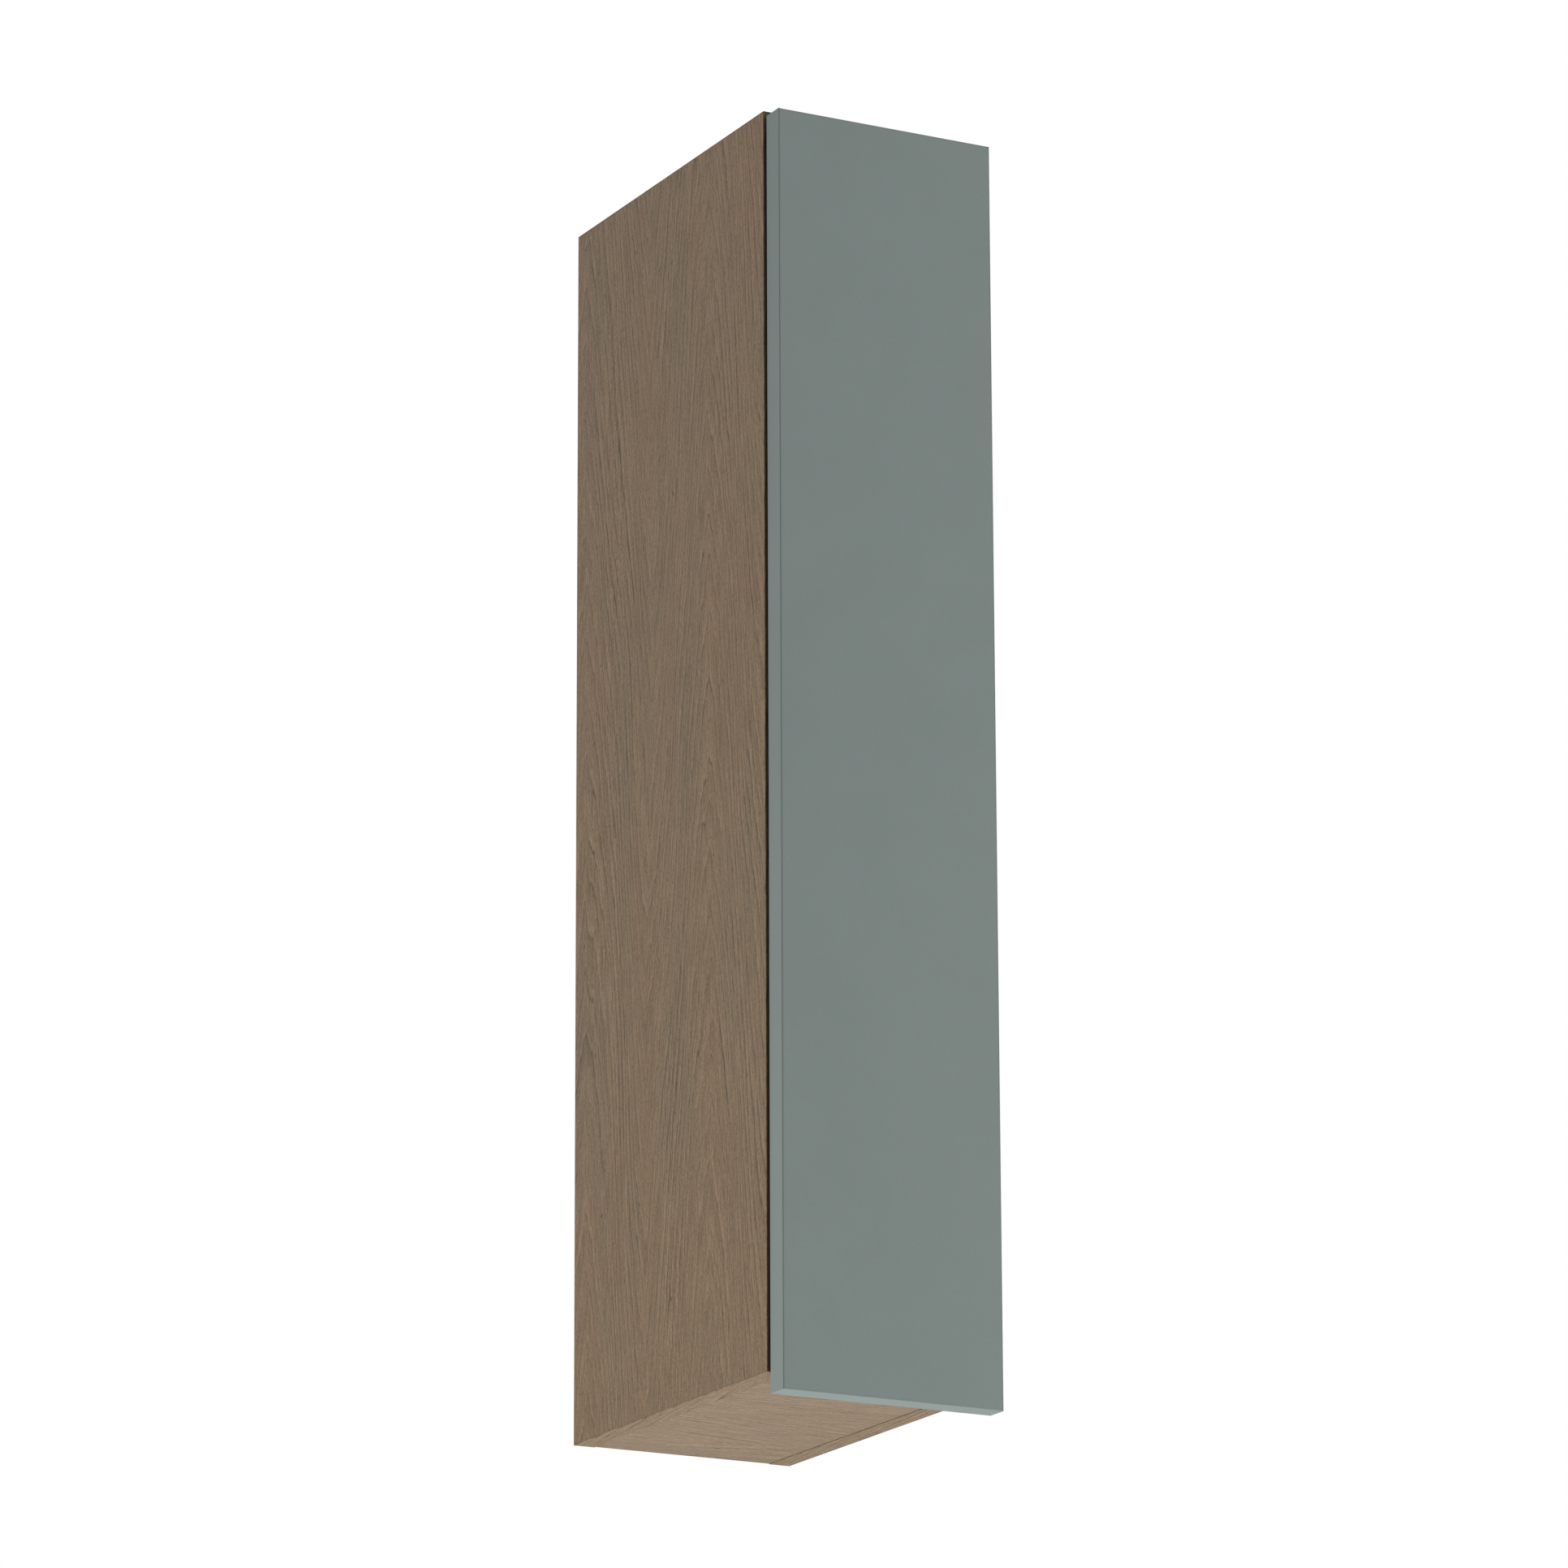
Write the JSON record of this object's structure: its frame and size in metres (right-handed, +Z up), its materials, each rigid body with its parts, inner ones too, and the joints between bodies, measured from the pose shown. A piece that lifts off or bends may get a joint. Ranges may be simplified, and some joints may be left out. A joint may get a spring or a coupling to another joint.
{
  "type": "wall cabinet",
  "caption": "Tall narrow kitchen wall cabinet with a handleless slab door on concealed hinges, loose shelves and adjustable rail hooks behind its back",
  "frame": {"origin": "on the wall plane, on the centre line, at the underside of the bottom panel", "axes": "+Z up along the height, +Y towards the wall, +X to the right for someone facing the door"},
  "size_m": [0.2, 0.364, 1.068],
  "materials": {
    "wood_decor_board": "brown oak decor on chipboard, matt, vertical grain",
    "wood_decor_edge": "brown oak decor edge band",
    "green_grey_board": "matt sage grey-green laminate on board",
    "green_grey_edge": "matt sage grey-green edge band",
    "beech_dowel": "fluted beech",
    "nickel_steel": "nickel-plated pressed steel",
    "zinc_steel": "zinc-plated steel",
    "hanger_plastic": "light grey moulded plastic",
    "bumper_plastic": "clear soft plastic pad"
  },
  "bodies": {
    "carcass": {"side_panel_left": "wood_decor_board", "side_panel_right": "wood_decor_board", "top_panel": "wood_decor_board", "bottom_panel": "wood_decor_board", "back_panel": "wood_decor_board", "side_front_edge_bands": "wood_decor_edge", "side_end_edge_bands": "wood_decor_edge", "cross_panel_edge_bands": "wood_decor_edge", "carcass_dowels": "beech_dowel", "shelf_1": "wood_decor_board", "shelf_2": "wood_decor_board", "shelf_3": "wood_decor_board", "shelf_edge_bands": "wood_decor_edge", "shelf_pins": "zinc_steel", "hinge_1_plate": "nickel_steel", "hinge_1_arm": "nickel_steel", "hinge_2_plate": "nickel_steel", "hinge_2_arm": "nickel_steel", "hinge_3_plate": "nickel_steel", "hinge_3_arm": "nickel_steel", "hinge_arm_pins": "zinc_steel", "hinge_plate_screws": "zinc_steel", "hinge_arm_screws": "zinc_steel", "hanger_left_housing": "hanger_plastic", "hanger_left_cover": "hanger_plastic", "hanger_right_housing": "hanger_plastic", "hanger_right_cover": "hanger_plastic", "hanger_height_screws": "zinc_steel", "hanger_wood_screws": "zinc_steel"},
    "hinge_links": {"hinge_1_link": "nickel_steel", "hinge_2_link": "nickel_steel", "hinge_3_link": "nickel_steel"},
    "door": {"door_panel": "green_grey_board", "door_side_edge_bands": "green_grey_edge", "door_end_edge_bands": "green_grey_edge", "door_bumpers": "bumper_plastic", "hinge_1_cup": "nickel_steel", "hinge_2_cup": "nickel_steel", "hinge_3_cup": "nickel_steel", "hinge_cup_pins": "zinc_steel", "hinge_cup_screws": "zinc_steel"},
    "hanger_lift_left": {"hanger_left_carriage": "zinc_steel", "hanger_left_depth_screw": "zinc_steel"},
    "hanger_hook_left": {"hanger_left_hook": "zinc_steel"},
    "hanger_lift_right": {"hanger_right_carriage": "zinc_steel", "hanger_right_depth_screw": "zinc_steel"},
    "hanger_hook_right": {"hanger_right_hook": "zinc_steel"}
  },
  "joints": [
    {"name": "door_swing", "type": "hinge", "parent": "hinge_links", "child": "door", "pos_m": [0.0894, -0.3453, 0.5245], "axis": [0, 0, 1], "range_deg": [0, 141.55]},
    {"name": "link_swing", "type": "hinge", "parent": "carcass", "child": "hinge_links", "pos_m": [0.07, -0.3265, 0.5245], "axis": [0, 0, 1], "range_deg": [-46.6, 0]},
    {"name": "hanger_left_height", "type": "slide", "parent": "carcass", "child": "hanger_lift_left", "axis": [0, 0, 1], "range_m": [-0.007, 0.007]},
    {"name": "hanger_left_pull", "type": "slide", "parent": "hanger_lift_left", "child": "hanger_hook_left", "axis": [0, -1, 0], "range_m": [0, 0.008]},
    {"name": "hanger_right_height", "type": "slide", "parent": "carcass", "child": "hanger_lift_right", "axis": [0, 0, 1], "range_m": [-0.007, 0.007]},
    {"name": "hanger_right_pull", "type": "slide", "parent": "hanger_lift_right", "child": "hanger_hook_right", "axis": [0, -1, 0], "range_m": [0, 0.008]}
  ],
  "couplings": [
    {"joint": "link_swing", "follows": "door_swing", "ratio": -0.32886}
  ]
}
